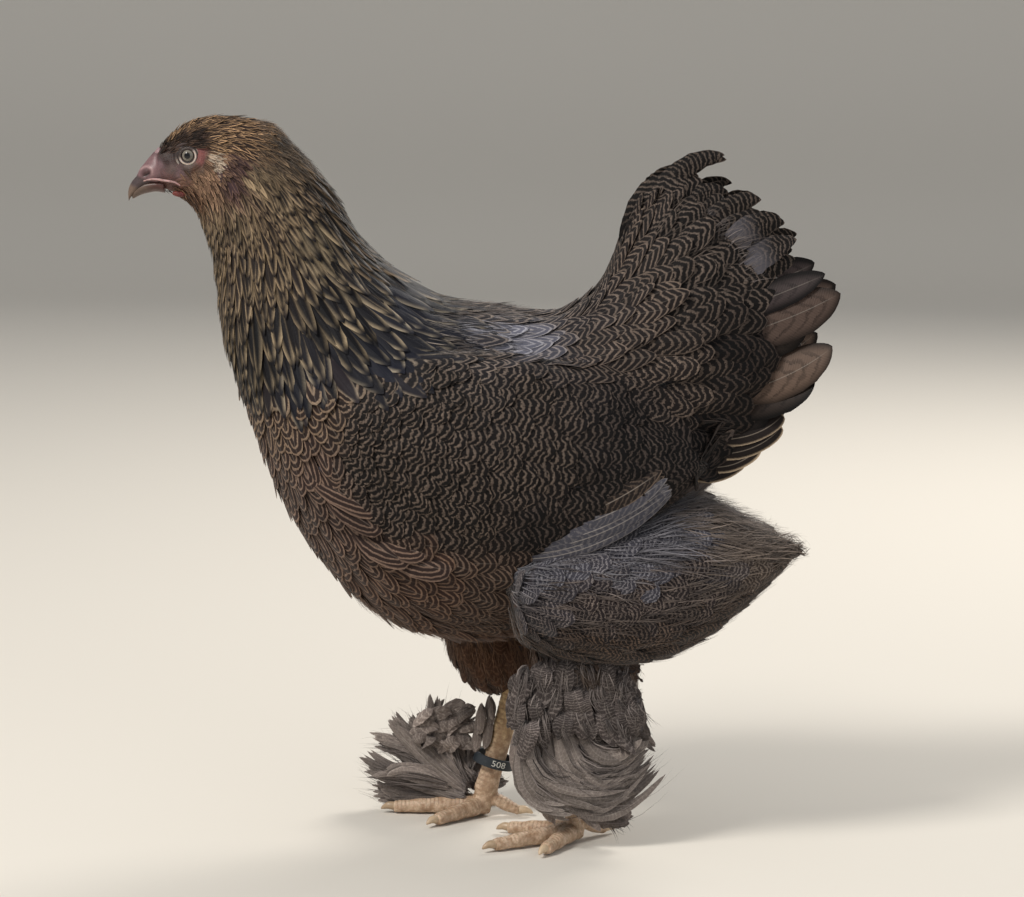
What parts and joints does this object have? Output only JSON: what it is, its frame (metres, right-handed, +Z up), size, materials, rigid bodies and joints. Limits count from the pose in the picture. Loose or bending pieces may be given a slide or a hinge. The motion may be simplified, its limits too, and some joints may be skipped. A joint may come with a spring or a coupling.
{
  "type": "brahma chicken",
  "caption": "Life-size still model of a large feather-footed hen standing, with dark pencilled plumage, raised fanned tail, small comb and a ring on one leg.",
  "frame": {"origin": "middle of the outline's footprint, on the floor", "axes": "+Z up, -X the way the bird faces, -Y its left side"},
  "size_m": [0.4905, 0.212, 0.5028],
  "materials": {
    "plumage_head": "small soft streaked feathers",
    "plumage_neck": "long pointed dark feathers with straw edges",
    "plumage_body": "dark brown feathers with fine tan pencilling",
    "plumage_down": "loose grey down with faint bars",
    "quill_feathers": "smooth stiff vanes",
    "bill": "smooth horn",
    "red_skin": "soft bare skin",
    "eye": "wet and clear",
    "leg_scales": "dry scales",
    "claw": "worn horn",
    "leg_band": "matte with pale plain digits"
  },
  "bodies": {
    "root": {"bill_lower": "bill", "bill_upper": "bill", "claw_left_hind": "claw", "claw_left_inner": "claw", "claw_left_middle": "claw", "claw_left_outer": "claw", "claw_right_hind": "claw", "claw_right_inner": "claw", "claw_right_middle": "claw", "claw_right_outer": "claw", "comb": "red_skin", "drumstick_left": "plumage_down", "drumstick_right": "plumage_down", "earlobe_left": "red_skin", "earlobe_right": "red_skin", "eye_left": "eye", "eye_right": "eye", "foot_feathers_left": "plumage_down", "foot_feathers_right": "plumage_down", "foot_left": "leg_scales", "foot_right": "leg_scales", "head": "plumage_head", "leg_band": "leg_band", "neck": "plumage_neck", "primaries_left": "quill_feathers", "primaries_right": "quill_feathers", "shank_left": "leg_scales", "shank_right": "leg_scales", "tail_coverts": "plumage_body", "tail_fan_left": "quill_feathers", "tail_fan_right": "quill_feathers", "thigh_fluff_left": "plumage_down", "thigh_fluff_right": "plumage_down", "trunk": "plumage_body", "wattle_left": "red_skin", "wattle_right": "red_skin", "wing_left": "plumage_body", "wing_right": "plumage_body"}
  },
  "joints": []
}
